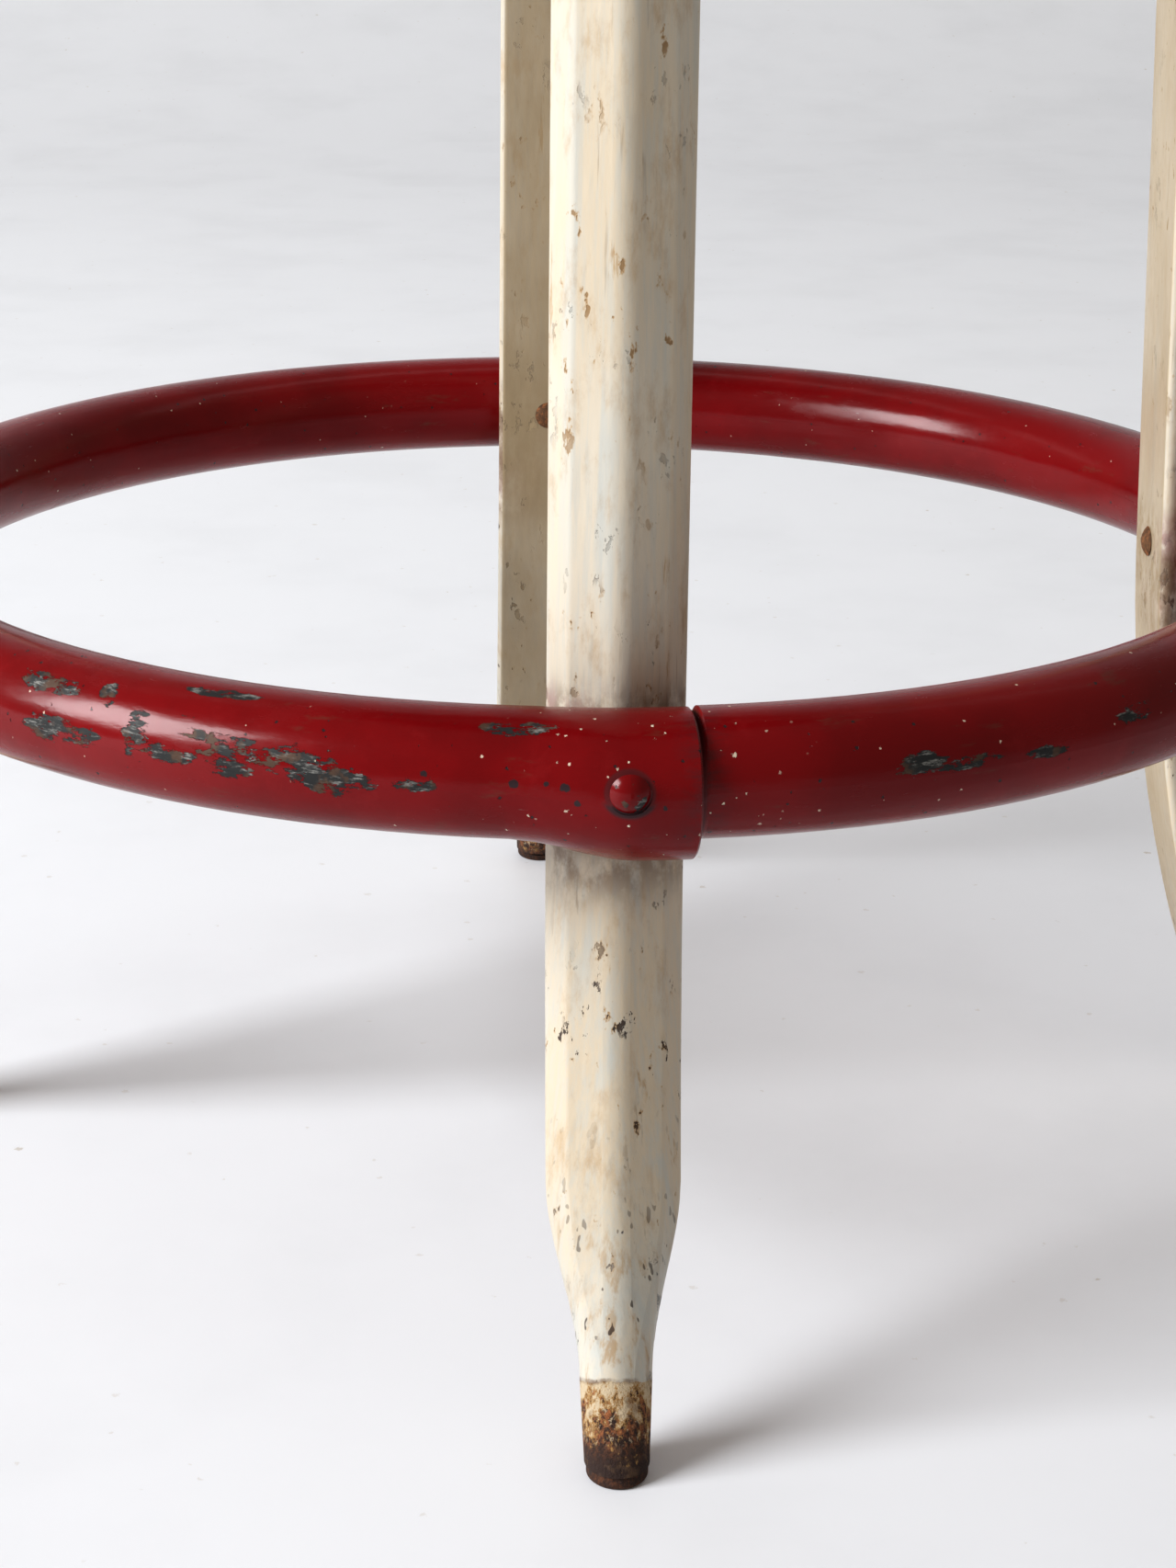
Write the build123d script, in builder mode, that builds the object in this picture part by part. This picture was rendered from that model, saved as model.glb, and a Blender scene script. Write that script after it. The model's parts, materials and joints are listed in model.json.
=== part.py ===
from build123d import *
from math import cos, pi, radians, sin, tan
import os

# Bar stool. Four pressed-steel legs stand inside a tubular footrest ring and arch inward at the top to
# a riveted hub. The hub carries a ball thrust bearing, and the pan seat turns on it about the Z axis.
# Millimetres, +Z up. The origin is on the floor under the swivel axis, and the front leg is on -Y.

# ---- Driving dimensions ----

SEAT_HEIGHT = 610.0
RING_HEIGHT = 144.0
RING_OUTER_RADIUS = 176.0
RING_TUBE_RADIUS = 12.7
RING_TUBE_WALL = 1.4

LEG_WIDTH = 27.4
LEG_DEPTH = 12.2
LEG_WALL = 1.5
LEG_LEAN = 2.0
FOOT_LEAN = 24.0
ARCH_RADIUS = 70.0

SEAT_RADIUS = 176.0
PAN_SHEET = 1.5
HUB_SHEET = 2.5
BRACKET_SHEET = 3.0

LEG_ANGLES = {"front": -90, "right": 0, "back": 90, "left": 180}

# ---- Clearances ----

TOUCH_GAP = 0.05
RUNNING_GAP = 0.05
FREE_GAP = 0.4

# ---- Shared helpers ----


def blend(start, end, share):
    """Value that goes from start to end as the share goes from 0 to 1."""
    return start + (end - start) * share


def radial_plane(angle):
    """Upright plane through the Z axis: local x points outward at the given angle and local y up."""
    turn = radians(angle)
    return Plane(origin=(0, 0, 0), x_dir=(cos(turn), sin(turn), 0), z_dir=(sin(turn), -cos(turn), 0))


def radial_place(angle, reach, height):
    """Place whose local z points outward at the given angle."""
    turn = radians(angle)
    outward = (cos(turn), sin(turn), 0)
    return Plane(origin=(reach * outward[0], reach * outward[1], height), x_dir=(0, 0, 1), z_dir=outward).location


def domed_rivet(shank_radius, grip, head_radius, head_rise, tail_radius, tail_rise):
    """Rivet on the Z axis: its head stands on z = 0 and its shank reaches down through the grip."""
    with BuildPart() as rivet:
        with BuildSketch(Plane.XZ):
            with BuildLine():
                TangentArc((0, head_rise), (head_radius, 0), tangent=(1, 0))
                Polyline((head_radius, 0), (shank_radius, 0), (shank_radius, -grip), (tail_radius, -grip))
                TangentArc((0, -grip - tail_rise), (tail_radius, -grip), tangent=(1, 0))
                Line((0, -grip - tail_rise), (0, head_rise))
            make_face()
        revolve(axis=Axis.Z)
    return rivet.part


def save(part, name):
    """Label a finished piece and write its STEP file."""
    part.label = name
    export_step(part, f"parts/{name}.step")


# ---- Heights of the stacked pieces, from the seat down ----

WASHER_THICKNESS = 2.0
BOLT_HEAD_HEIGHT = 7.5
RACE_THICKNESS = 4.5
BALL_RADIUS = 3.5
BALL_GROOVE_DEPTH = 1.6
BRACKET_RISE = 20.0

bracket_flange_bottom = SEAT_HEIGHT - PAN_SHEET - BRACKET_SHEET
bracket_bottom = bracket_flange_bottom - BRACKET_RISE
bracket_top = bracket_bottom + BRACKET_SHEET
upper_race_bottom = bracket_bottom - RACE_THICKNESS
ball_height = upper_race_bottom + BALL_GROOVE_DEPTH - BALL_RADIUS - RUNNING_GAP
hub_top = ball_height - BALL_RADIUS - RUNNING_GAP + BALL_GROOVE_DEPTH - RACE_THICKNESS
leg_top = hub_top - HUB_SHEET
leg_underside = leg_top - LEG_DEPTH
hub_bottom = leg_underside - HUB_SHEET

# ---- Leg centre line: foot flare, straight run, arch, run into the hub ----

RING_RADIUS = RING_OUTER_RADIUS - RING_TUBE_RADIUS
FLARE_TOP = 140.0
LEG_END_REACH = 26.0

leg_reach_at_ring = RING_RADIUS - RING_TUBE_RADIUS - LEG_DEPTH / 2 - TOUCH_GAP
flare_top_reach = leg_reach_at_ring + (RING_HEIGHT - FLARE_TOP) * tan(radians(LEG_LEAN))
flare_radius = FLARE_TOP / (sin(radians(FOOT_LEAN)) - sin(radians(LEG_LEAN)))
arch_end_height = leg_top - LEG_DEPTH / 2
arch_start_height = arch_end_height - ARCH_RADIUS * (1 - sin(radians(LEG_LEAN)))
arch_start_reach = leg_reach_at_ring - (arch_start_height - RING_HEIGHT) * tan(radians(LEG_LEAN))
arch_end_reach = arch_start_reach - ARCH_RADIUS * cos(radians(LEG_LEAN))


def flare_frame(distance):
    """Plane across the leg at a distance up the flare from the floor, local y pointing outward."""
    lean = radians(FOOT_LEAN) - distance / flare_radius
    reach = flare_top_reach + flare_radius * (cos(radians(LEG_LEAN)) - cos(lean))
    height = FLARE_TOP - flare_radius * (sin(lean) - sin(radians(LEG_LEAN)))
    return Plane(origin=(reach, 0, height), x_dir=(0, -1, 0), z_dir=(-sin(lean), 0, cos(lean)))


# ---- Leg cross-section ----

SIDE_HEIGHT = 2.8
FACET_HALF_WIDTH = 9.8
FACET_HEIGHT = 7.7
BACK_CORNER_RADIUS = 1.7
SIDE_CORNER_RADIUS = 2.5
RIDGE_RADIUS = 6.5
CORNER_COUNT = 7
FILLET_SHARE = 0.96


def leg_section(plane, roundness, foot_radius, inset):
    """Leg outline: flat inner face, two sides, ridged outer face. Roundness 1 makes it a circle."""
    ridged = [
        (LEG_WIDTH / 2, 0),
        (LEG_WIDTH / 2, SIDE_HEIGHT),
        (FACET_HALF_WIDTH, FACET_HEIGHT),
        (0, LEG_DEPTH),
        (-FACET_HALF_WIDTH, FACET_HEIGHT),
        (-LEG_WIDTH / 2, SIDE_HEIGHT),
        (-LEG_WIDTH / 2, 0),
    ]
    step = 2 * pi / CORNER_COUNT
    corner_reach = foot_radius / cos(step / 2)
    corners = []
    for index, (across, outward) in enumerate(ridged):
        turn = (index + 0.5) * step
        round_across = corner_reach * sin(turn)
        round_outward = -corner_reach * cos(turn)
        across = blend(across, round_across, roundness)
        outward = blend(outward - LEG_DEPTH / 2, round_outward, roundness)
        corners.append((across, outward))
    round_fillet = FILLET_SHARE * foot_radius
    rounding = roundness**2
    with BuildSketch(plane) as section:
        with BuildLine():
            Polyline(*corners, close=True)
        make_face()
        if inset:
            offset(amount=-inset, kind=Kind.INTERSECTION)
        back_corners = section.vertices().sort_by(Axis.Y)[:2]
        fillet(back_corners, blend(BACK_CORNER_RADIUS, round_fillet, rounding) - inset)
        side_corners = section.vertices().sort_by(Axis.Y)[-5:-1]
        fillet(side_corners, blend(SIDE_CORNER_RADIUS, round_fillet, rounding) - inset)
        ridge = section.vertices().sort_by(Axis.Y)[-1]
        fillet(ridge, blend(RIDGE_RADIUS, round_fillet, rounding) - inset)
    return section.sketch


# ---- Leg ----

TAPER_START = 58.0
TAPER_END = 19.0
TAPER_STEPS = 6
FOOT_RADIUS = 7.3
TIP_RADIUS = 6.25
TIP_OVERRUN = 5.0
GLIDE_HEIGHT = 2.6


def taper_stations():
    """Distance up the flare and roundness at each section where the leg narrows to its round foot."""
    stations = []
    for step in range(TAPER_STEPS + 1):
        share = step / TAPER_STEPS
        roundness = share * share * (3 - 2 * share)
        stations.append((blend(TAPER_START, TAPER_END, share), roundness))
    return stations


def leg_body(inset):
    """Solid leg on +X, shrunk by the inset and cut level above the foot glide."""
    taper_frame = flare_frame(TAPER_START)
    flare_end = (flare_top_reach, 0, FLARE_TOP)
    flare_middle = flare_frame(flare_radius * radians(FOOT_LEAN - LEG_LEAN) / 2 + TAPER_START / 2).origin
    arch_start = (arch_start_reach, 0, arch_start_height)
    arch_middle_turn = radians((LEG_LEAN + 90) / 2)
    arch_centre_height = arch_end_height - ARCH_RADIUS
    arch_middle = (
        arch_end_reach + ARCH_RADIUS * cos(arch_middle_turn),
        0,
        arch_centre_height + ARCH_RADIUS * sin(arch_middle_turn),
    )
    arch_end = (arch_end_reach, 0, arch_end_height)
    with BuildPart() as body:
        with BuildLine() as centre_line:
            ThreePointArc(taper_frame.origin, flare_middle, flare_end)
            Line(flare_end, arch_start)
            ThreePointArc(arch_start, arch_middle, arch_end)
            Line(arch_end, (LEG_END_REACH, 0, arch_end_height))
        sweep(sections=leg_section(taper_frame, 0, FOOT_RADIUS, inset), path=centre_line.wire())
        loft(
            sections=[
                leg_section(flare_frame(distance), roundness, FOOT_RADIUS, inset)
                for distance, roundness in taper_stations()
            ]
        )
        loft(
            sections=[
                leg_section(flare_frame(TAPER_END), 1, FOOT_RADIUS, inset),
                leg_section(flare_frame(-TIP_OVERRUN), 1, TIP_RADIUS, inset),
            ]
        )
        split(bisect_by=Plane.XY.offset(GLIDE_HEIGHT), keep=Keep.TOP)
    return body.part


RING_RIVET_RADIUS = 2.5
RING_RIVET_HEIGHT = RING_HEIGHT + 1.5
HUB_RIVET_RADIUS = 2.5
HUB_RIVET_REACHES = (34.0, 47.0)

with BuildPart() as leg:
    add(leg_body(0))
    add(leg_body(LEG_WALL), mode=Mode.SUBTRACT)
    with BuildSketch(Plane.YZ):
        with Locations((0, RING_RIVET_HEIGHT)):
            Circle(RING_RIVET_RADIUS + TOUCH_GAP)
    extrude(amount=RING_RADIUS, mode=Mode.SUBTRACT)
    with BuildSketch(Plane.XY.offset(hub_bottom)):
        with Locations(*[(reach, 0) for reach in HUB_RIVET_REACHES]):
            Circle(HUB_RIVET_RADIUS + TOUCH_GAP)
    extrude(amount=hub_top - hub_bottom, mode=Mode.SUBTRACT)

for leg_name, leg_angle in LEG_ANGLES.items():
    with BuildPart() as turned_leg:
        add(leg.part, rotation=(0, 0, leg_angle))
    save(turned_leg.part, f"leg_{leg_name}")

# ---- Foot plug: a steel glide worn level with the floor, with a stem inside the leg tip ----

PLUG_STEM_LENGTH = 12.0
PLUG_STEM_RADIUS = 4.4
PLUG_EDGE_RADIUS = 0.9
WELD_LAP = 0.2

glide_top = GLIDE_HEIGHT - TOUCH_GAP

with BuildPart() as foot_plug:
    with Locations(flare_frame(0).location):
        Cylinder(TIP_RADIUS, 2 * TIP_OVERRUN)
    split(bisect_by=Plane.XY, keep=Keep.TOP)
    split(bisect_by=Plane.XY.offset(glide_top), keep=Keep.BOTTOM)
    fillet(foot_plug.edges().sort_by(Axis.Z)[0], PLUG_EDGE_RADIUS)

with BuildPart() as plug_stem:
    with Locations(flare_frame(0).location):
        Cylinder(PLUG_STEM_RADIUS, PLUG_STEM_LENGTH, align=(Align.CENTER, Align.CENTER, Align.MIN))
    split(bisect_by=Plane.XY.offset(glide_top - WELD_LAP), keep=Keep.TOP)

for leg_name, leg_angle in LEG_ANGLES.items():
    with BuildPart() as placed_plug:
        add(foot_plug.part, rotation=(0, 0, leg_angle))
        add(plug_stem.part, rotation=(0, 0, leg_angle))
    save(placed_plug.part, f"foot_plug_{leg_name}")

# ---- Footrest ring: one tube, its necked end pushed into the bell of its other end ----

BELL_RADIUS = 14.5
BELL_WALL = 1.2
BELL_DROP = 1.5
BELL_SWELL_START = -7.5
BELL_SWELL_END = 0.8
BELL_SWELL_STEPS = 5
BELL_MOUTH_ANGLE = 4.4
BELL_EDGE_CHAMFER = 0.4
NECK_RADIUS = 11.9
NECK_END_ANGLE = -1.0
NECK_TAPER_START = 4.6
NECK_TAPER_END = 5.0
RIVET_SEAT_RADIUS = 4.2
RIVET_SEAT_DEPTH = 0.5

BELL_SHIFT_OUT = BELL_RADIUS - RING_TUBE_RADIUS
FRONT = LEG_ANGLES["front"]

# Each tube shape is reach, height, outer radius and wall.
TUBE = (RING_RADIUS, RING_HEIGHT, RING_TUBE_RADIUS, RING_TUBE_WALL)
BELL = (RING_RADIUS + BELL_SHIFT_OUT, RING_HEIGHT - BELL_DROP, BELL_RADIUS, BELL_WALL)
NECK = (RING_RADIUS + BELL_SHIFT_OUT / 2, RING_HEIGHT - BELL_DROP / 2, NECK_RADIUS, RING_TUBE_WALL)

ring_rivet_spots = {name: (angle, RING_OUTER_RADIUS) for name, angle in LEG_ANGLES.items()}
ring_rivet_spots["front"] = (FRONT, BELL[0] + BELL_RADIUS)


def tube_bend(start_angle, end_angle, tube):
    """Stretch of bent tube between two angles from the front of the ring."""
    reach, height, radius, wall = tube
    with BuildPart() as bend:
        with BuildSketch(radial_plane(FRONT + start_angle)):
            with Locations((reach, height)):
                Circle(radius)
                Circle(radius - wall, mode=Mode.SUBTRACT)
        revolve(axis=Axis.Z, revolution_arc=end_angle - start_angle)
    return bend.part


def tube_disc(angle, tube, wall_share):
    """Round section of a tube at an angle from the front, shrunk by a share of its wall."""
    reach, height, radius, wall = tube
    with BuildSketch(radial_plane(FRONT + angle)) as disc:
        with Locations((reach, height)):
            Circle(radius - wall_share * wall)
    return disc.sketch


def tube_change(start_angle, start_tube, end_angle, end_tube, steps):
    """Stretch of tube that changes smoothly from one tube shape to another."""
    stations = []
    for step in range(steps + 1):
        share = step / steps
        ease = share * share * (3 - 2 * share)
        tube = [blend(start, end, ease) for start, end in zip(start_tube, end_tube)]
        stations.append((blend(start_angle, end_angle, share), tube))
    with BuildPart() as change:
        loft(sections=[tube_disc(angle, tube, 0) for angle, tube in stations])
        loft(sections=[tube_disc(angle, tube, 1) for angle, tube in stations], mode=Mode.SUBTRACT)
    return change.part


with BuildPart() as footrest_ring:
    add(tube_bend(BELL_SWELL_END, BELL_MOUTH_ANGLE, BELL))
    mouth = footrest_ring.faces().filter_by(GeomType.PLANE).sort_by(Axis.X)[-1]
    chamfer(mouth.edges().sort_by(SortBy.LENGTH)[-1], BELL_EDGE_CHAMFER)
    add(tube_bend(NECK_TAPER_END, 360 + BELL_SWELL_START, TUBE))
    add(tube_change(BELL_SWELL_START, TUBE, BELL_SWELL_END, BELL, BELL_SWELL_STEPS))
    add(tube_change(NECK_TAPER_START, NECK, NECK_TAPER_END, TUBE, 1))
    add(tube_bend(NECK_END_ANGLE, NECK_TAPER_START, NECK))
    for angle, reach in ring_rivet_spots.values():
        with Locations(radial_place(angle, reach, RING_RIVET_HEIGHT)):
            Cylinder(
                RIVET_SEAT_RADIUS,
                RIVET_SEAT_DEPTH,
                align=(Align.CENTER, Align.CENTER, Align.MAX),
                mode=Mode.SUBTRACT,
            )
            Cylinder(
                RING_RIVET_RADIUS + TOUCH_GAP,
                2 * BELL_RADIUS + TOUCH_GAP,
                align=(Align.CENTER, Align.CENTER, Align.MAX),
                mode=Mode.SUBTRACT,
            )
save(footrest_ring.part, "footrest_ring")

# ---- Ring rivets: one through the ring and each leg ----

RING_RIVET_HEAD_RADIUS = 3.8
RING_RIVET_HEAD_RISE = 1.9
RING_RIVET_TAIL_RADIUS = 3.6
RING_RIVET_TAIL_RISE = 1.5
TAIL_GAP = 0.25

leg_inner_reach = leg_reach_at_ring - LEG_DEPTH / 2

with BuildPart() as ring_rivets:
    for angle, reach in ring_rivet_spots.values():
        head_seat = reach - RIVET_SEAT_DEPTH
        with Locations(radial_place(angle, head_seat, RING_RIVET_HEIGHT)):
            add(
                domed_rivet(
                    RING_RIVET_RADIUS,
                    head_seat - leg_inner_reach + TAIL_GAP,
                    RING_RIVET_HEAD_RADIUS,
                    RING_RIVET_HEAD_RISE,
                    RING_RIVET_TAIL_RADIUS,
                    RING_RIVET_TAIL_RISE,
                )
            )
save(ring_rivets.part, "ring_rivets")

# ---- Hub: two stamped plates that clamp the leg tops ----

LOWER_PLATE_RADIUS = 54.0
UPPER_PLATE_RADIUS = 62.0
UPPER_FLANGE_DEPTH = 9.0
UPPER_FLANGE_BEND = 4.0
PLATE_EDGE_FILLET = 0.8
BUSHING_RADIUS = 9.0
BOLT_RADIUS = 6.0

rivet_spots = [
    (reach * cos(radians(angle)), reach * sin(radians(angle)))
    for angle in LEG_ANGLES.values()
    for reach in HUB_RIVET_REACHES
]

with BuildPart() as hub_lower_plate:
    with BuildSketch(Plane.XY.offset(hub_bottom)):
        Circle(LOWER_PLATE_RADIUS)
        Circle(BOLT_RADIUS + FREE_GAP, mode=Mode.SUBTRACT)
        with Locations(*rivet_spots):
            Circle(HUB_RIVET_RADIUS + TOUCH_GAP, mode=Mode.SUBTRACT)
    extrude(amount=HUB_SHEET)
    rim_edges = hub_lower_plate.edges().filter_by(GeomType.CIRCLE).sort_by(SortBy.RADIUS)[-2:]
    fillet(rim_edges, PLATE_EDGE_FILLET)
save(hub_lower_plate.part, "hub_lower_plate")

with BuildPart() as hub_upper_plate:
    with BuildSketch(Plane.XZ):
        with BuildLine():
            FilletPolyline(
                (BUSHING_RADIUS + TOUCH_GAP, hub_top),
                (UPPER_PLATE_RADIUS, hub_top),
                (UPPER_PLATE_RADIUS, hub_top - UPPER_FLANGE_DEPTH),
                radius=UPPER_FLANGE_BEND,
            )
            offset(amount=HUB_SHEET, side=Side.RIGHT)
        make_face()
    revolve(axis=Axis.Z)
    with BuildSketch(Plane.XY.offset(leg_top)):
        with PolarLocations(UPPER_PLATE_RADIUS, len(LEG_ANGLES)):
            Rectangle(4 * HUB_SHEET, LEG_WIDTH + 2 * FREE_GAP)
    extrude(amount=-UPPER_FLANGE_DEPTH, mode=Mode.SUBTRACT)
    with BuildSketch(Plane.XY.offset(leg_top)):
        with Locations(*rivet_spots):
            Circle(HUB_RIVET_RADIUS + TOUCH_GAP)
    extrude(amount=HUB_SHEET, mode=Mode.SUBTRACT)
save(hub_upper_plate.part, "hub_upper_plate")

HUB_RIVET_HEAD_RADIUS = 4.5
HUB_RIVET_HEAD_RISE = 2.4

with BuildPart() as hub_rivets:
    with Locations(*[(x, y, hub_top) for x, y in rivet_spots]):
        add(
            domed_rivet(
                HUB_RIVET_RADIUS,
                hub_top - hub_bottom,
                HUB_RIVET_HEAD_RADIUS,
                HUB_RIVET_HEAD_RISE,
                HUB_RIVET_HEAD_RADIUS,
                HUB_RIVET_HEAD_RISE,
            )
        )
save(hub_rivets.part, "hub_rivets")

# ---- Pivot: bushing, bolt, washers and nut, all fixed to the hub ----

BOLT_LENGTH = 52.0
HEX_WIDTH = 18.0
NUT_HEIGHT = 10.0
TOP_WASHER_RADIUS = 17.0
BOTTOM_WASHER_RADIUS = 12.0
HEX_EDGE_CHAMFER = 0.6

bushing_top = bracket_top + FREE_GAP
bolt_seat = bushing_top + WASHER_THICKNESS
nut_top = hub_bottom - WASHER_THICKNESS


def washer(bottom, radius):
    """Flat washer round the bolt."""
    with BuildPart() as ring:
        with BuildSketch(Plane.XY.offset(bottom)):
            Circle(radius)
            Circle(BOLT_RADIUS + FREE_GAP, mode=Mode.SUBTRACT)
        extrude(amount=WASHER_THICKNESS)
    return ring.part


with BuildPart() as pivot_bushing:
    with BuildSketch(Plane.XY.offset(leg_underside)):
        Circle(BUSHING_RADIUS)
        Circle(BOLT_RADIUS + FREE_GAP, mode=Mode.SUBTRACT)
    extrude(amount=bushing_top - leg_underside)
save(pivot_bushing.part, "pivot_bushing")

save(washer(bushing_top, TOP_WASHER_RADIUS), "top_washer")
save(washer(nut_top, BOTTOM_WASHER_RADIUS), "bottom_washer")

with BuildPart() as pivot_bolt:
    with BuildSketch(Plane.XY.offset(bolt_seat)):
        RegularPolygon(HEX_WIDTH / 2, 6, major_radius=False)
    extrude(amount=BOLT_HEAD_HEIGHT)
    chamfer(pivot_bolt.faces().sort_by(Axis.Z)[-1].edges(), HEX_EDGE_CHAMFER)
    with BuildSketch(Plane.XY.offset(bolt_seat)):
        Circle(BOLT_RADIUS)
    extrude(amount=-BOLT_LENGTH)
    chamfer(pivot_bolt.faces().sort_by(Axis.Z)[0].edges(), HEX_EDGE_CHAMFER)
save(pivot_bolt.part, "pivot_bolt")

with BuildPart() as pivot_nut:
    with BuildSketch(Plane.XY.offset(nut_top - NUT_HEIGHT)):
        RegularPolygon(HEX_WIDTH / 2, 6, major_radius=False)
        Circle(BOLT_RADIUS + TOUCH_GAP, mode=Mode.SUBTRACT)
    extrude(amount=NUT_HEIGHT)
save(pivot_nut.part, "pivot_nut")

# ---- Thrust bearing: two grooved races with caged balls between them ----

BALL_COUNT = 12
BALL_CIRCLE_RADIUS = 20.0
BALL_GROOVE_RADIUS = 3.6
RACE_INNER_RADIUS = 13.0
RACE_OUTER_RADIUS = 27.0
CAGE_THICKNESS = 1.6
CAGE_INNER_RADIUS = 14.5
CAGE_OUTER_RADIUS = 25.5
CAGE_POCKET_RADIUS = BALL_RADIUS + RUNNING_GAP


def bearing_race(bottom, groove_height):
    """Flat ring with a round groove for the balls at the groove height."""
    with BuildPart() as race:
        with BuildSketch(Plane.XY.offset(bottom)):
            Circle(RACE_OUTER_RADIUS)
            Circle(RACE_INNER_RADIUS, mode=Mode.SUBTRACT)
        extrude(amount=RACE_THICKNESS)
        with Locations((0, 0, groove_height)):
            Torus(BALL_CIRCLE_RADIUS, BALL_GROOVE_RADIUS, mode=Mode.SUBTRACT)
    return race.part


groove_slack = BALL_GROOVE_RADIUS - BALL_RADIUS - RUNNING_GAP
save(bearing_race(hub_top, ball_height + groove_slack), "lower_race")
save(bearing_race(upper_race_bottom, ball_height - groove_slack), "upper_race")

with BuildPart() as bearing_balls:
    with Locations((0, 0, ball_height)):
        with PolarLocations(BALL_CIRCLE_RADIUS, BALL_COUNT):
            Sphere(BALL_RADIUS)
save(bearing_balls.part, "bearing_balls")

with BuildPart() as ball_cage:
    with BuildSketch(Plane.XY.offset(ball_height - CAGE_THICKNESS / 2)):
        Circle(CAGE_OUTER_RADIUS)
        Circle(CAGE_INNER_RADIUS, mode=Mode.SUBTRACT)
        with PolarLocations(BALL_CIRCLE_RADIUS, BALL_COUNT):
            Circle(CAGE_POCKET_RADIUS, mode=Mode.SUBTRACT)
    extrude(amount=CAGE_THICKNESS)
save(ball_cage.part, "ball_cage")

# ---- Seat bracket: hat-shaped pressing between the bearing and the pan ----

BRACKET_FLOOR_RADIUS = 42.0
BRACKET_SHOULDER_RADIUS = 72.0
BRACKET_RADIUS = 100.0
BRACKET_BEND = 8.0
SEAT_RIVET_COUNT = 4
SEAT_RIVET_CIRCLE = 86.0
SEAT_RIVET_RADIUS = 3.0
SEAT_RIVET_HEAD_RADIUS = 6.0
SEAT_RIVET_TAIL_RISE = 1.6
SEAT_RIVET_START_ANGLE = 45.0
COUNTERSINK_ANGLE = 90.0

with BuildPart() as seat_bracket:
    with BuildSketch(Plane.XZ):
        with BuildLine():
            FilletPolyline(
                (BUSHING_RADIUS + RUNNING_GAP, bracket_bottom),
                (BRACKET_FLOOR_RADIUS, bracket_bottom),
                (BRACKET_SHOULDER_RADIUS, bracket_flange_bottom),
                (BRACKET_RADIUS, bracket_flange_bottom),
                radius=BRACKET_BEND,
            )
            offset(amount=BRACKET_SHEET, side=Side.LEFT)
        make_face()
    revolve(axis=Axis.Z)
    with Locations((0, 0, SEAT_HEIGHT)):
        with PolarLocations(SEAT_RIVET_CIRCLE, SEAT_RIVET_COUNT, start_angle=SEAT_RIVET_START_ANGLE):
            CounterSinkHole(
                SEAT_RIVET_RADIUS + TOUCH_GAP,
                SEAT_RIVET_HEAD_RADIUS + TOUCH_GAP,
                counter_sink_angle=COUNTERSINK_ANGLE,
            )
save(seat_bracket.part, "seat_bracket")

# ---- Seat pan: flat pressed sheet with a deep skirt and a rolled edge ----

PAN_SKIRT_DEPTH = 26.0
PAN_CURL_WIDTH = 7.5
PAN_CURL_RISE = 4.5
PAN_SHOULDER_RADIUS = 12.0
PAN_CURL_RADIUS = 3.2

pan_skirt_bottom = SEAT_HEIGHT - PAN_SKIRT_DEPTH
pan_curl_reach = SEAT_RADIUS - PAN_CURL_WIDTH

with BuildPart() as seat_pan:
    with BuildSketch(Plane.XZ):
        with BuildLine():
            FilletPolyline(
                (0, SEAT_HEIGHT),
                (SEAT_RADIUS, SEAT_HEIGHT),
                (SEAT_RADIUS, pan_skirt_bottom),
                (pan_curl_reach, pan_skirt_bottom),
                (pan_curl_reach, pan_skirt_bottom + PAN_CURL_RISE),
                radius=[PAN_SHOULDER_RADIUS, PAN_CURL_RADIUS, PAN_CURL_RADIUS],
            )
            offset(amount=PAN_SHEET, side=Side.RIGHT)
        make_face()
    revolve(axis=Axis.Z)
    with Locations((0, 0, SEAT_HEIGHT)):
        with PolarLocations(SEAT_RIVET_CIRCLE, SEAT_RIVET_COUNT, start_angle=SEAT_RIVET_START_ANGLE):
            CounterSinkHole(
                SEAT_RIVET_RADIUS + TOUCH_GAP,
                SEAT_RIVET_HEAD_RADIUS + TOUCH_GAP,
                counter_sink_angle=COUNTERSINK_ANGLE,
            )
save(seat_pan.part, "seat_pan")

# ---- Seat rivets: flush conical heads in the pan, formed tails under the bracket ----

seat_rivet_grip = PAN_SHEET + BRACKET_SHEET
seat_rivet_cone = (SEAT_RIVET_HEAD_RADIUS - SEAT_RIVET_RADIUS) / tan(radians(COUNTERSINK_ANGLE / 2))

with BuildPart() as seat_rivet:
    with BuildSketch(Plane.XZ):
        with BuildLine():
            Polyline(
                (0, -seat_rivet_grip - SEAT_RIVET_TAIL_RISE),
                (0, 0),
                (SEAT_RIVET_HEAD_RADIUS, 0),
                (SEAT_RIVET_RADIUS, -seat_rivet_cone),
                (SEAT_RIVET_RADIUS, -seat_rivet_grip),
                (SEAT_RIVET_HEAD_RADIUS, -seat_rivet_grip),
            )
            TangentArc(
                (0, -seat_rivet_grip - SEAT_RIVET_TAIL_RISE),
                (SEAT_RIVET_HEAD_RADIUS, -seat_rivet_grip),
                tangent=(1, 0),
            )
        make_face()
    revolve(axis=Axis.Z)

with BuildPart() as seat_rivets:
    with Locations((0, 0, SEAT_HEIGHT)):
        with PolarLocations(SEAT_RIVET_CIRCLE, SEAT_RIVET_COUNT, start_angle=SEAT_RIVET_START_ANGLE):
            add(seat_rivet.part)
save(seat_rivets.part, "seat_rivets")
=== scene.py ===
import json
from math import cos, radians, sin
from types import SimpleNamespace

import bpy
from mathutils import Matrix, Vector


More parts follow.
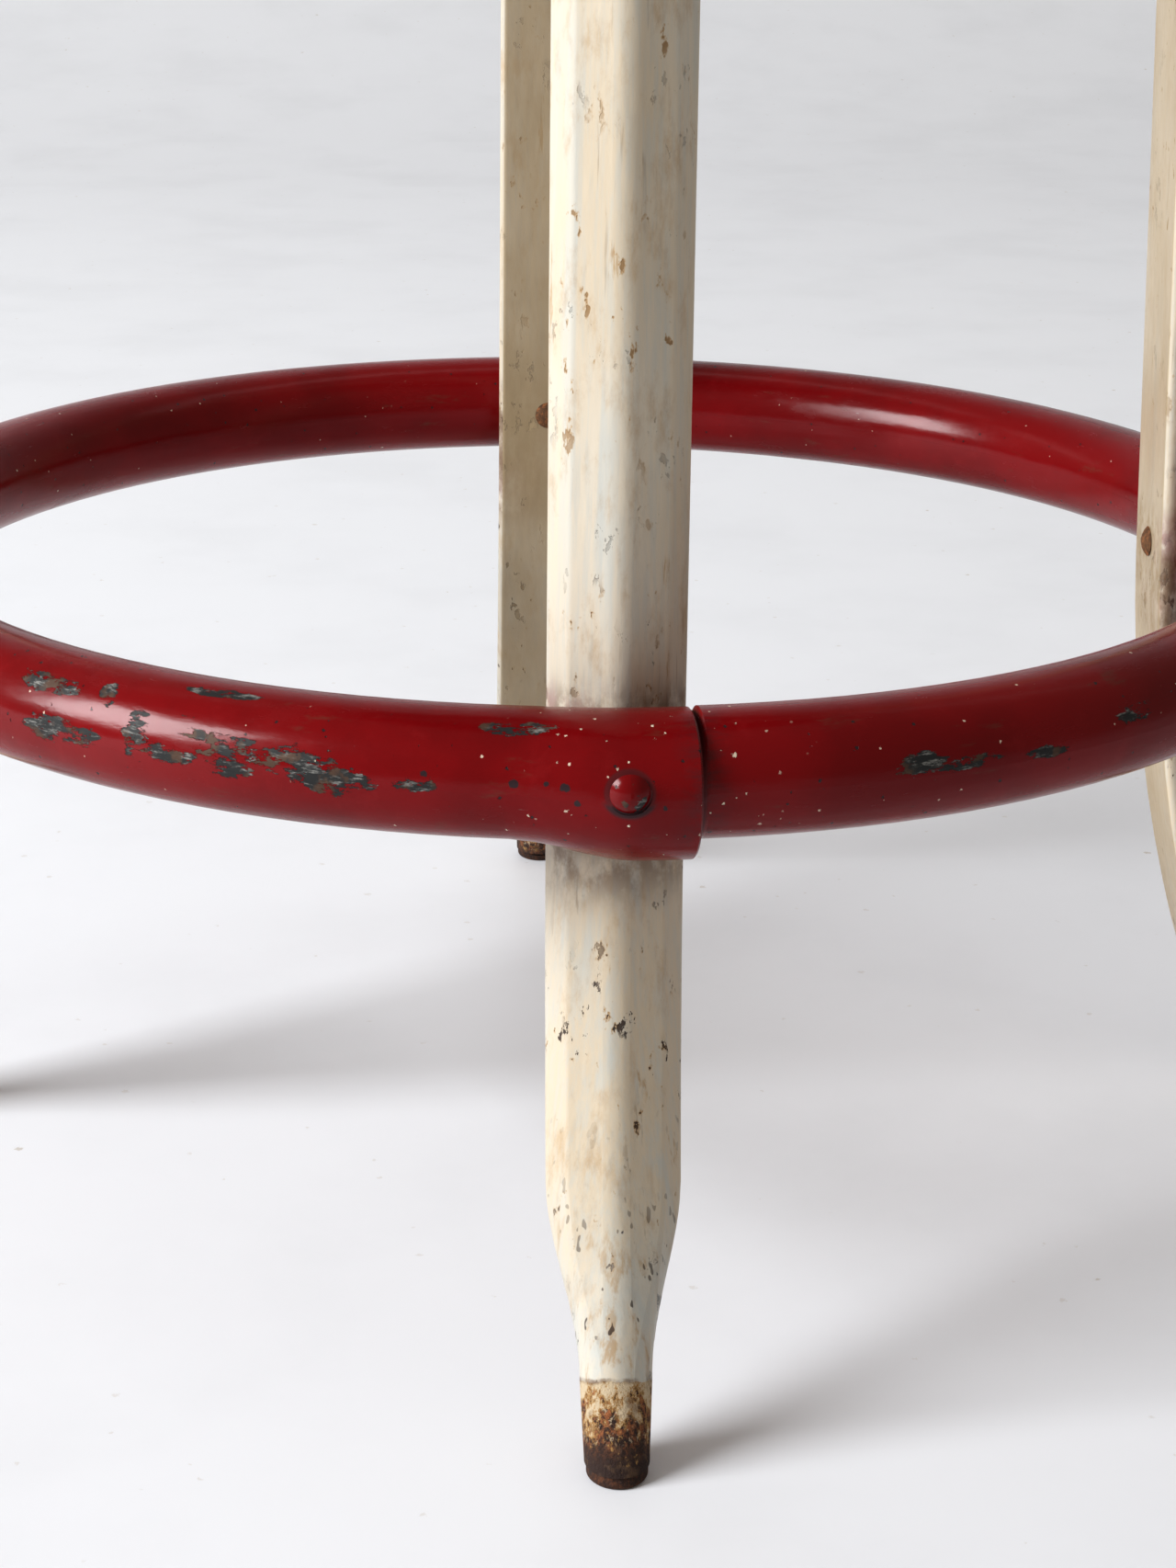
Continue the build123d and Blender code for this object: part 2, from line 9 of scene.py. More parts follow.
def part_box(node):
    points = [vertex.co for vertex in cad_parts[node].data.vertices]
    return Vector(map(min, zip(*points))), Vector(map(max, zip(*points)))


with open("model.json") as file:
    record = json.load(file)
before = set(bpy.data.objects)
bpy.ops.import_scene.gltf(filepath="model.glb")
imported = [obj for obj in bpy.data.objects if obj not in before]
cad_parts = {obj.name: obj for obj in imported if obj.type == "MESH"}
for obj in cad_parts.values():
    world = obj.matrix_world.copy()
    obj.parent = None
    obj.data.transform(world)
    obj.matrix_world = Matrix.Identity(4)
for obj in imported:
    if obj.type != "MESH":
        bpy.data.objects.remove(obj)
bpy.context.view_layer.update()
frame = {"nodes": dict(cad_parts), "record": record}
nodes = frame["nodes"]

# ---- Places on the stool, in metres and degrees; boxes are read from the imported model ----

_, ring_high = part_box("footrest_ring")
rivet_low, rivet_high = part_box("ring_rivets")
foot_low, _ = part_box("foot_plug_front")

TUBE_RADIUS = 0.0127
RING_HEIGHT = ring_high.z - TUBE_RADIUS
RING_RADIUS = ring_high.x - TUBE_RADIUS
BELL_MOUTH_TURN = 4.4
RIVET_HEIGHT = (rivet_low.z + rivet_high.z) / 2
RIVET_HEAD_RADIUS = 0.0038
MOUTH_LINE_TURN = BELL_MOUTH_TURN + 0.2
FLECKS_TURN = 2
FLECKS_THICK = 2
FLECKS_END = 11
FOOT_AXIS_INSET = 0.0064
FOOT_REACH = -foot_low.y - FOOT_AXIS_INSET
FOOT_LEAN = 24
RUST_TOP = 0.0185

# ---- Colours, linear ----

CREAM = (0.59, 0.525, 0.425)
CREAM_YELLOWED = (0.52, 0.415, 0.28)
CREAM_COOL = (0.43, 0.455, 0.44)
GRIME_BROWN = (0.14, 0.078, 0.040)
GRIME_PURPLE = (0.24, 0.12, 0.115)
RUST_STAIN = (0.34, 0.19, 0.06)
RUST_DARK = (0.026, 0.010, 0.006)
RUST_ORANGE = (0.30, 0.105, 0.034)
# Dark of chips, gaps and pinholes, also used for the painted shade at the bell's mouth and the painted
# shadow under the rivet's head.
CHIP_AND_SHADE_DARK = (0.020, 0.022, 0.025)
RED = (0.175, 0.0030, 0.0048)
RED_DEEP = (0.110, 0.0022, 0.0034)
RED_CHALKY = (0.230, 0.012, 0.014)
BARE_STEEL = (0.026, 0.027, 0.027)
BARE_STEEL_LIGHT = (0.230, 0.225, 0.210)
PRIMER_BROWN = (0.090, 0.050, 0.032)
CREAM_FLECK = (0.75, 0.66, 0.52)
# Brown of the painted shade on the side of each leg that faces the stool's axis.
INNER_SHADE_TINT = (0.30, 0.225, 0.130)
FLOOR_WHITE = (0.82, 0.835, 0.87)
FLOOR_SPECK = (0.46, 0.39, 0.30)
ZINC = (0.42, 0.41, 0.38)
OILY_STEEL = (0.26, 0.25, 0.23)
BALL_STEEL = (0.55, 0.55, 0.54)
BRASS = (0.52, 0.38, 0.15)

# ---- Shine of the red enamel, and how deep each surface's bumps go in metres ----

RED_SHINE = 0.22
CREAM_DEPTH = 0.0012
RED_DEPTH = 0.0010
RUST_DEPTH = 0.0012
METAL_DEPTH = 0.0008
FLOOR_DEPTH = 0.001

# ---- Camera: looks down at the ring from a little left of the front leg ----

CAMERA_DISTANCE = 0.7477
CAMERA_RISE = 15.02
CAMERA_SIDE = 3.38
CAMERA_PAN = -0.29
CAMERA_PITCH = -4.32
CAMERA_ROLL = -0.76
CAMERA_LENS = 71.75


def add_camera():
    """Camera aimed at the ring's centre, then panned, pitched and rolled a little."""
    target = Vector((0, 0, RING_HEIGHT))
    level = CAMERA_DISTANCE * cos(radians(CAMERA_RISE))
    rise = CAMERA_DISTANCE * sin(radians(CAMERA_RISE))
    side = radians(CAMERA_SIDE)
    place = target + Vector((-level * sin(side), -level * cos(side), rise))
    forward = (target - place).normalized()
    right = forward.cross(Vector((0, 0, 1))).normalized()
    pan = Matrix.Rotation(radians(CAMERA_PAN), 3, "Z")
    forward, right = pan @ forward, pan @ right
    forward = Matrix.Rotation(radians(CAMERA_PITCH), 3, right) @ forward
    right = Matrix.Rotation(radians(CAMERA_ROLL), 3, forward) @ right
    up = right.cross(forward)
    camera = bpy.data.objects.new("camera", bpy.data.cameras.new("camera"))
    camera.data.lens = CAMERA_LENS
    basis = Matrix((right, up, -forward)).transposed().to_4x4()
    camera.matrix_world = Matrix.Translation(place) @ basis
    bpy.context.scene.collection.objects.link(camera)
    bpy.context.scene.camera = camera


# ---- Node helpers: all but feed and finish add nodes and return their output ----


class Paint:
    """One material's node graph. A colour or value argument may be a socket or a plain value."""

    def __init__(self, name, shine=0.5):
        self.material = bpy.data.materials.new(name)
        self.material.use_nodes = True
        self.tree = self.material.node_tree
        self.shader = self.tree.nodes["Principled BSDF"]
        self.shader.inputs["Specular IOR Level"].default_value = shine
        coordinates = self.tree.nodes.new("ShaderNodeTexCoord")
        self.place = coordinates.outputs["Object"]
        self.normal = coordinates.outputs["Normal"]

    def feed(self, socket, value):
        """Link a socket to an input, or set the input to a plain value."""
        if isinstance(value, bpy.types.NodeSocket):
            self.tree.links.new(value, socket)
        elif isinstance(value, tuple) and len(value) == 3 and socket.type == "RGBA":
            socket.default_value = (*value, 1)
        else:
            socket.default_value = value

    def math(self, operation, first, second=0.0):
        """One sum: an operation of Blender's math node."""
        node = self.tree.nodes.new("ShaderNodeMath")
        node.operation = operation
        self.feed(node.inputs[0], first)
        self.feed(node.inputs[1], second)
        return node.outputs[0]

    def times(self, *values):
        """Product of the values: where all of several masks are 1."""
        product = values[0]
        for value in values[1:]:
            product = self.math("MULTIPLY", product, value)
        return product

    def either(self, *values):
        """Highest of the values: where any of several masks is 1."""
        strongest = values[0]
        for value in values[1:]:
            strongest = self.math("MAXIMUM", strongest, value)
        return strongest

    def square(self, across, along):
        """Squared length of a flat vector."""
        return self.math("ADD", self.times(across, across), self.times(along, along))

    def length(self, across, along):
        """Length of a flat vector."""
        return self.math("SQRT", self.square(across, along))

    def step(self, value, low, high):
        """0 below low and 1 above high with a smooth change; low may be above high to turn it round."""
        node = self.tree.nodes.new("ShaderNodeMapRange")
        node.interpolation_type = "SMOOTHSTEP"
        falling = low > high
        self.feed(node.inputs["Value"], value)
        node.inputs["From Min"].default_value = min(low, high)
        node.inputs["From Max"].default_value = max(low, high)
        node.inputs["To Min"].default_value = 1.0 if falling else 0.0
        node.inputs["To Max"].default_value = 0.0 if falling else 1.0
        return node.outputs["Result"]

    def mix(self, share, first, second):
        """First colour where share is 0, second where it is 1."""
        node = self.tree.nodes.new("ShaderNodeMix")
        node.data_type = "RGBA"
        self.feed(node.inputs["Factor"], share)
        self.feed(node.inputs[6], first)
        self.feed(node.inputs[7], second)
        return node.outputs[2]

    def cover(self, color, layer, *masks):
        """Lay the colour of a layer over another where all the masks are high."""
        return self.mix(self.times(*masks), color, layer)

    def stretched(self, stretch, shift, source=None):
        """Object coordinates, or those of a source, scaled and moved."""
        node = self.tree.nodes.new("ShaderNodeMapping")
        node.inputs["Scale"].default_value = stretch
        node.inputs["Location"].default_value = shift
        self.feed(node.inputs["Vector"], source or self.place)
        return node.outputs["Vector"]

    def noise(self, size, detail=4.0, stretch=(1, 1, 1), shift=(0, 0, 0), source=None, rough=0.55):
        """Noise whose lumps are about size metres across, longer along axes with a small stretch."""
        node = self.tree.nodes.new("ShaderNodeTexNoise")
        node.inputs["Scale"].default_value = 1 / size
        node.inputs["Detail"].default_value = detail
        node.inputs["Roughness"].default_value = rough
        self.feed(node.inputs["Vector"], self.stretched(stretch, shift, source))
        return node.outputs["Fac"]

    def blotches(self, low, high, *sizes, **settings):
        """Mask that is 0 where noise is below low and 1 above high; the rest is what noise takes."""
        return self.step(self.noise(*sizes, **settings), low, high)

    def dots(self, spacing, shift):
        """Distance to the nearest of scattered points, in units of their spacing, and its random tint."""
        node = self.tree.nodes.new("ShaderNodeTexVoronoi")
        node.inputs["Scale"].default_value = 1 / spacing
        self.feed(node.inputs["Vector"], self.stretched((1, 1, 1), shift))
        return node.outputs["Distance"], node.outputs["Color"]

    def parts(self, vector):
        """The x, y and z of a vector."""
        node = self.tree.nodes.new("ShaderNodeSeparateXYZ")
        self.feed(node.inputs[0], vector)
        return node.outputs[0], node.outputs[1], node.outputs[2]

    def join(self, x, y, z):
        """Vector of x, y and z."""
        node = self.tree.nodes.new("ShaderNodeCombineXYZ")
        for socket, value in zip(node.inputs, (x, y, z)):
            self.feed(socket, value)
        return node.outputs[0]

    def reach(self):
        """Distance from the stool's axis."""
        x, y, _ = self.parts(self.place)
        return self.length(x, y)

    def faces_inward(self):
        """1 where the surface faces the stool's axis."""
        x, y, _ = self.parts(self.place)
        across, along, _ = self.parts(self.normal)
        outward = self.math("ADD", self.times(x, across), self.times(y, along))
        return self.step(self.math("DIVIDE", outward, self.reach()), -0.80, -0.93)

    def finish(self, color, roughness, height, depth, metallic=0.0):
        """Feed the shader; height from 0 to 1 gives bumps as deep as depth in metres."""
        self.feed(self.shader.inputs["Base Color"], color)
        self.feed(self.shader.inputs["Roughness"], roughness)
        self.feed(self.shader.inputs["Metallic"], metallic)
        bump = self.tree.nodes.new("ShaderNodeBump")
        bump.inputs["Strength"].default_value = 1.0
        bump.inputs["Distance"].default_value = depth
        self.feed(bump.inputs["Height"], height)
        self.tree.links.new(bump.outputs["Normal"], self.shader.inputs["Normal"])
        return self.material


def scattered(paint, spacing, size, share, shift):
    """Mask of small ragged specks: spacing apart, size across in spacings, on a share of the points."""
    distance, tint = paint.dots(spacing, shift)
    chosen, bigger, _ = paint.parts(tint)
    uneven = paint.math("SUBTRACT", paint.noise(spacing * size, 3, shift=shift, rough=0.7), 0.5)
    distance = paint.math("ADD", distance, paint.times(uneven, 2.8 * size))
    distance = paint.math("ADD", distance, paint.times(bigger, 0.6 * size))
    return paint.times(paint.step(distance, size, size * 0.75), paint.step(chosen, share, share * 0.98))


# ---- Cream enamel of the legs and hub ----

# The numbers of a blotches call are, in order: where its noise starts to show and where it is full, the
# size of its lumps in metres, its detail, its stretch along x, y and z, and a shift that keeps it apart
# from the other layers. A number at the end of a cover call says how strongly the layer shows.


def cream_tones(paint, cool):
    """Cream that is yellowed, greyed and mottled brown, with dark hairs down the leg."""
    yellowed = paint.blotches(0.42, 0.66, 0.045, 4, (1, 1, 0.35))
    color = paint.cover(CREAM, CREAM_YELLOWED, yellowed, 0.55)
    color = paint.cover(color, CREAM_COOL, cool, 0.50)
    hairs = paint.blotches(0.60, 0.68, 0.0016, 4, (1, 1, 0.035), (6, 1, 1), rough=0.6)
    hair_zone = paint.blotches(0.48, 0.62, 0.02, 3, (1, 1, 0.4), (2, 2, 7))
    color = paint.cover(color, GRIME_BROWN, hairs, hair_zone, 0.38)
    brushed = paint.blotches(0.42, 0.66, 0.0011, 5, (1, 1, 0.05), (4, 2, 1), rough=0.7)
    color = paint.cover(color, CREAM_COOL, brushed, 0.38)
    mottled = paint.blotches(0.50, 0.72, 0.0060, 7, (1, 1, 0.4), (0, 5, 5), rough=0.7)
    return paint.cover(color, RUST_STAIN, mottled, 0.42)


def cream_damage(paint, z):
    """Masks of rust stains, and of gaps down to dark steel, which are fainter above the ring."""
    knocked = paint.math("ADD", 0.30, paint.times(paint.step(z, 0.20, 0.12), 0.70))
    zone = paint.blotches(0.40, 0.58, 0.024, 2, shift=(5, 1, 2))
    spot = paint.noise(0.0036, 4, (1, 1, 0.55), (7, 3, 1), rough=0.6)
    freckles = paint.times(paint.step(spot, 0.625, 0.675), zone)
    pits = paint.times(paint.step(spot, 0.665, 0.680), zone, knocked)
    runs = paint.blotches(0.62, 0.70, 0.0030, 6, (1, 1, 0.10), (1, 8, 4), rough=0.65)
    run_zone = paint.blotches(0.48, 0.58, 0.035, 2, shift=(3, 3, 9))
    stain = paint.either(freckles, paint.times(runs, run_zone, 0.85))
    chips = paint.blotches(0.605, 0.62, 0.0042, 6, (1, 1, 0.5), (4, 4, 4), rough=0.7)
    chip_zone = paint.blotches(0.53, 0.61, 0.020, 2, shift=(9, 2, 6))
    chips = paint.times(chips, chip_zone, knocked)
    specks = paint.times(scattered(paint, 0.010, 0.055, 0.25, (3, 1, 5)), knocked)
    return stain, paint.either(chips, pits, specks)


def grime_and_band_by_ring(paint, z):
    """Masks of the grime beside the ring, and of the brown band just under it."""
    off_ring = paint.math("ABSOLUTE", paint.math("SUBTRACT", z, RING_HEIGHT - 0.0060))
    near_ring = paint.step(off_ring, 0.0210, 0.0120)
    smudge = paint.blotches(0.33, 0.62, 0.0036, 7, (1, 1, 0.6), (6, 0, 2), rough=0.7)
    below_ring = paint.math("SUBTRACT", RING_HEIGHT, z)
    # A brown band from the ring's middle down to about 22 to 36 mm below it, broken up by noise.
    under_ring = paint.times(paint.step(below_ring, 0.036, 0.022), paint.step(below_ring, -0.004, 0.0))
    brown_under_ring = paint.blotches(0.36, 0.60, 0.0060, 6, (1, 1, 0.6), (2, 5, 3), rough=0.65)
    return paint.times(near_ring, smudge, 0.72), paint.times(under_ring, brown_under_ring, 0.75)


def cream_layers(paint):
    """Aged cream enamel: colour, roughness and height before any foot rust."""
    _, _, z = paint.parts(paint.place)
    cool = paint.blotches(0.52, 0.70, 0.0048, 5, (1, 1, 0.06), (2.1, 0, 0))
    stain, gaps = cream_damage(paint, z)
    grime, brown_under_ring = grime_and_band_by_ring(paint, z)
    purple = paint.blotches(0.50, 0.60, 0.012, 2, shift=(8, 8, 1))
    color = paint.cover(cream_tones(paint, cool), RUST_STAIN, stain, 0.85)
    color = paint.cover(color, paint.mix(cool, RUST_DARK, CHIP_AND_SHADE_DARK), gaps, 0.93)
    color = paint.cover(color, paint.mix(purple, GRIME_BROWN, GRIME_PURPLE), grime)
    color = paint.cover(color, GRIME_BROWN, brown_under_ring)

    grain = paint.noise(0.0014, 3, (1, 1, 0.3))
    roughness = paint.math("ADD", 0.26, paint.times(grain, 0.26))
    roughness = paint.either(roughness, paint.times(gaps, 0.75), paint.times(stain, 0.6))
    roughness = paint.either(roughness, paint.times(grime, 0.8))
    ripple = paint.noise(0.011, 3, (1, 1, 0.25), (1, 1, 1))
    height = paint.math("ADD", paint.times(ripple, 0.30), paint.times(grain, 0.04))
    height = paint.math("SUBTRACT", height, paint.times(gaps, 0.30))
    return color, roughness, height


def cream_enamel(name):
    """Aged cream enamel of the hub."""
    paint = Paint(name)
    return paint.finish(*cream_layers(paint), CREAM_DEPTH)


# ---- Rust, and the cream enamel of the legs ----


def rust_color(paint):
    """Dark rust with an orange bloom."""
    ember = paint.blotches(0.44, 0.62, 0.0014, 7, (1, 1, 0.7), (8, 2, 2), rough=0.78)
    return paint.mix(ember, RUST_DARK, RUST_ORANGE)


def rust_scale(paint):
    """Height of the small scales on rust."""
    return paint.noise(0.0012, 4, shift=(4, 1, 8), rough=0.75)


def shade_inner_side(paint, color):
    """Darken and brown the side of the leg that faces the stool's axis: painted shade on the inner faces,
    tinted yellow-brown like aged paint.
    """
    inner_shade = paint.blotches(0.25, 0.75, 0.030, 4, (1, 1, 0.5), (4, 0, 3))
    inner_shade = paint.math("ADD", 0.55, paint.times(inner_shade, 0.4))
    return paint.cover(color, INNER_SHADE_TINT, paint.faces_inward(), inner_shade)


def climb_of_leg(paint):
    """Height above the floor, measured along the leaning foot."""
    _, _, z = paint.parts(paint.place)
    lean = radians(FOOT_LEAN)
    inward = paint.math("SUBTRACT", FOOT_REACH, paint.reach())
    return paint.math("ADD", paint.times(z, cos(lean)), paint.times(inward, sin(lean)))


def damp_above_foot(paint, color, climb):
    """Grey the enamel just above the foot, with drips of rust and dark slits."""
    damp = paint.blotches(0.30, 0.62, 0.010, 5, (1, 1, 0.4), (9, 9, 1))
    color = paint.cover(color, CREAM_COOL, paint.step(climb, 0.065, 0.026), damp, 0.6)
    above = paint.step(climb, 0.085, 0.020)
    drips = paint.blotches(0.52, 0.66, 0.0034, 6, (1, 1, 0.14), (5, 5, 2), rough=0.65)
    color = paint.cover(color, RUST_STAIN, above, drips, 0.62)
    slits = paint.blotches(0.66, 0.68, 0.0026, 2, (1, 1, 0.40), (5, 9, 2), rough=0.5)
    return paint.cover(color, RUST_DARK, above, slits, 0.9)


def foot_color(paint, climb):
    """Flaking rust, darkest at the floor, with crumbs of dirty cream left on it."""
    flaking = paint.noise(0.0026, 8, (1, 1, 0.6), (3, 9, 2), rough=0.76)
    flaking = paint.math("ADD", flaking, paint.times(climb, 14.0))
    dirty = paint.mix(paint.step(flaking, 0.69, 0.77), RUST_STAIN, CREAM_YELLOWED)
    rusty = paint.mix(paint.step(climb, 0.002, 0.011), RUST_DARK, rust_color(paint))
    foot = paint.cover(dirty, rusty, paint.step(flaking, 0.705, 0.63))
    crumbs = paint.blotches(0.57, 0.63, 0.0011, 4, (1, 1, 0.7), (2, 2, 9), rough=0.7)
    foot = paint.cover(foot, CREAM_YELLOWED, crumbs, paint.step(climb, 0.0055, 0.0085), 0.7)
    smoke = paint.blotches(0.54, 0.64, 0.0046, 5, shift=(3, 3, 1))
    return paint.cover(foot, GRIME_BROWN, smoke, 0.5)


def dirt_line(paint, edge):
    """Mask of the broken line of dirt at the top of the rusty foot."""
    from_below = paint.step(edge, RUST_TOP - 0.0006, RUST_TOP + 0.0002)
    from_above = paint.step(edge, RUST_TOP + 0.0011, RUST_TOP + 0.0005)
    broken = paint.blotches(0.30, 0.60, 0.004, 4, shift=(7, 7, 2))
    return paint.times(from_below, from_above, broken, 0.75)


def leg_enamel(name):
    """Cream enamel with drips of rust near the foot, a dirt line, and flaking rust below it."""
    paint = Paint(name)
    color, roughness, height = cream_layers(paint)
    climb = climb_of_leg(paint)
    ragged = paint.math("SUBTRACT", paint.noise(0.006, 4, (1, 1, 0.8), (2, 6, 6)), 0.5)
    edge = paint.math("ADD", climb, paint.times(ragged, 0.003))
    bare_foot = paint.step(edge, RUST_TOP + 0.0004, RUST_TOP)
    # Painted shade, tinted like aged paint, on the side of the leg that faces the stool's axis.
    color = shade_inner_side(paint, color)
    color = damp_above_foot(paint, color, climb)
    color = paint.cover(color, foot_color(paint, climb), bare_foot)
    color = paint.cover(color, GRIME_BROWN, dirt_line(paint, edge))
    roughness = paint.either(roughness, paint.times(bare_foot, 0.8))
    height = paint.math("ADD", height, paint.times(bare_foot, rust_scale(paint), 0.5))
    height = paint.math("SUBTRACT", height, paint.times(bare_foot, 0.30))
    return paint.finish(color, roughness, height, CREAM_DEPTH)


# ---- Red enamel of the ring ----

# Each chipped patch: turn round the ring from the front in degrees, angle round the tube from its outer
# side in degrees, and half its length and half its width in degrees.
CHIP_PATCHES = (
    (-40, 43, 3.4, 11),
    (-38, 4, 3.2, 15),
    (-35, 42, 0.8, 16),
    (-32, 15, 1.1, 28),
    (-30, 4, 2.8, 10),
    (-26, 20, 2.8, 13),
    (-25, 1, 2.2, 10),
    (-21, 12, 3.4, 17),
    (-18, 0, 2.6, 14),
    (-27, 70, 2.6, 7),
    (-13, 4, 1.6, 8),
    (-7, 58, 2.8, 9),
    (19, 8, 2.2, 15),
    (22, 7, 3.0, 7),
    (28, 3, 2.0, 6),
    (36, 20, 1.8, 13),
    (62, 25, 4.0, 20),
    (118, 60, 4.0, 22),
    (151, 30, 3.0, 20),
    (-64, 30, 3.0, 22),
    (-108, 55, 4.5, 20),
    (-150, 20, 3.0, 22),
)

# Each small round knock near the joint: turn and angle round the tube in degrees, radius in metres.
KNOCKS = (
    (-12.5, 13, 0.0008),
    (-7.0, 8, 0.0010),
    (-5.0, 9, 0.0005),
    (-3.9, 7, 0.0009),
    (-3.1, -5, 0.0006),
    (2.1, -6, 0.0005),
)


def bare_steel_color(paint):
    """Dull grey steel with light scrapes and brown primer."""
    light = paint.blotches(0.51, 0.67, 0.0016, 6, (0.40, 0.40, 1.8), rough=0.75)
    steel = paint.mix(light, BARE_STEEL, BARE_STEEL_LIGHT)
    primer = paint.blotches(0.50, 0.62, 0.0045, 5, shift=(4, 4, 4))
    return paint.cover(steel, PRIMER_BROWN, primer, 0.8)


def places_on_ring(paint):
    """Turn round the ring and roll round its tube, in radians; along the tube, out from its centre line
    and the height z, in metres; and the tube's surface unrolled flat."""
    x, y, z = paint.parts(paint.place)
    turn = paint.math("ARCTAN2", x, paint.times(y, -1.0))
    out = paint.math("SUBTRACT", paint.reach(), RING_RADIUS)
    up = paint.math("SUBTRACT", z, RING_HEIGHT)
    roll = paint.math("ARCTAN2", up, out)
    along = paint.times(turn, RING_RADIUS)
    unrolled = paint.join(along, paint.times(roll, TUBE_RADIUS), 0.0)
    return SimpleNamespace(turn=turn, roll=roll, along=along, out=out, z=z, unrolled=unrolled)


def near_patches(paint, at):
    """Mask that is 1 in the middle of each chipped patch and fades to 0 outside it."""
    near = 0.0
    for patch_turn, patch_roll, half_length, half_width in CHIP_PATCHES:
        along = paint.math("SUBTRACT", at.turn, radians(patch_turn))
        along = paint.times(along, 1 / radians(half_length))
        across = paint.math("SUBTRACT", at.roll, radians(patch_roll))
        across = paint.times(across, 1 / radians(half_width))
        near = paint.either(near, paint.step(paint.square(along, across), 1.8, 0.3))
    return near


def small_knocks(paint, at):
    """Mask of the small round knocks, with uneven edges."""
    uneven = paint.times(paint.math("SUBTRACT", paint.noise(0.0012, 3, shift=(2, 1, 6)), 0.5), 0.0010)
    mask = 0.0
    for knock_turn, knock_roll, radius in KNOCKS:
        along = paint.times(paint.math("SUBTRACT", at.turn, radians(knock_turn)), RING_RADIUS)
        across = paint.times(paint.math("SUBTRACT", at.roll, radians(knock_roll)), TUBE_RADIUS)
        distance = paint.math("ADD", paint.length(along, across), uneven)
        mask = paint.either(mask, paint.step(distance, radius, 0.75 * radius))
    return mask


def ring_red(paint, at):
    """Deep red with chalky areas, and brown smears along the tube."""
    deep = paint.blotches(0.36, 0.64, 0.030, 5, shift=(1, 1, 1))
    color = paint.cover(RED, RED_DEEP, deep, 0.6)
    chalky = paint.blotches(0.54, 0.78, 0.009, 7, shift=(6, 2, 0), rough=0.7)
    color = paint.cover(color, RED_CHALKY, chalky, 0.40)
    smears = paint.blotches(0.60, 0.74, 0.006, 6, (0.30, 1, 1), (2, 8, 0), at.unrolled, 0.65)
    return paint.cover(color, PRIMER_BROWN, smears, 0.45)


def scratched_and_dusty(paint, at, color):
    """Light scratches along the tube in some areas, and pale dust all over."""
    scratches = paint.blotches(0.68, 0.72, 0.0026, 5, (0.16, 1.6, 1), (3, 1, 0), at.unrolled, 0.7)
    scratch_zone = paint.blotches(0.50, 0.62, 0.022, 3, shift=(1, 7, 7))
    color = paint.cover(color, BARE_STEEL_LIGHT, scratches, scratch_zone, 0.6)
    dust = scattered(paint, 0.0040, 0.085, 0.45, (3, 7, 1))
    return paint.cover(color, CREAM_FLECK, dust, 0.7)


def joint_flecks(paint, at):
    """Mask of the flecks of cream paint near the joint."""
    off_joint = paint.math("ABSOLUTE", paint.math("SUBTRACT", at.turn, radians(FLECKS_TURN)))
    at_joint = paint.step(off_joint, radians(FLECKS_END), radians(FLECKS_THICK))
    large_flecks = scattered(paint, 0.0052, 0.13, 0.45, (8, 5, 1))
    small_flecks = scattered(paint, 0.0022, 0.16, 0.45, (2, 5, 7))
    return paint.times(paint.either(large_flecks, small_flecks), at_joint)


def mouth_shade_and_grime(paint, at, ragged):
    """Mask of the painted shade along the gap at the bell's mouth, as a dark line, and the grime beside
    it.
    """
    off_mouth = paint.math("ABSOLUTE", paint.math("SUBTRACT", at.turn, radians(MOUTH_LINE_TURN)))
    # The line is painted shade in the gap where the tube goes into the bell.
    line = paint.step(off_mouth, radians(0.35), radians(0.10))
    halo = paint.times(paint.step(off_mouth, radians(2.4), 0), paint.step(ragged, 0.40, 0.62))
    return paint.either(paint.times(line, 0.45), paint.times(halo, 0.42))


def rivet_dirt_and_shadow(paint, at, ragged):
    """Mask of the dirt round the head of the front rivet, with a thick crescent of painted shadow under
    it.
    """
    above_rivet = paint.math("SUBTRACT", at.z, RIVET_HEIGHT)
    from_rivet = paint.length(at.along, above_rivet)
    # The crescent is a painted shadow under the rivet's head.
    crescent = paint.step(from_rivet, RIVET_HEAD_RADIUS + 0.0016, RIVET_HEAD_RADIUS + 0.0006)
    lower_part = paint.step(above_rivet, -0.0012, -0.0030)
    crescent = paint.times(crescent, lower_part, paint.step(ragged, 0.34, 0.44))
    round_rivet = paint.step(from_rivet, RIVET_HEAD_RADIUS + 0.0009, RIVET_HEAD_RADIUS + 0.0003)
    outer_side = paint.step(at.out, 0.006, 0.010)
    return paint.times(paint.either(crescent, paint.times(round_rivet, 0.5)), outer_side, 0.85)


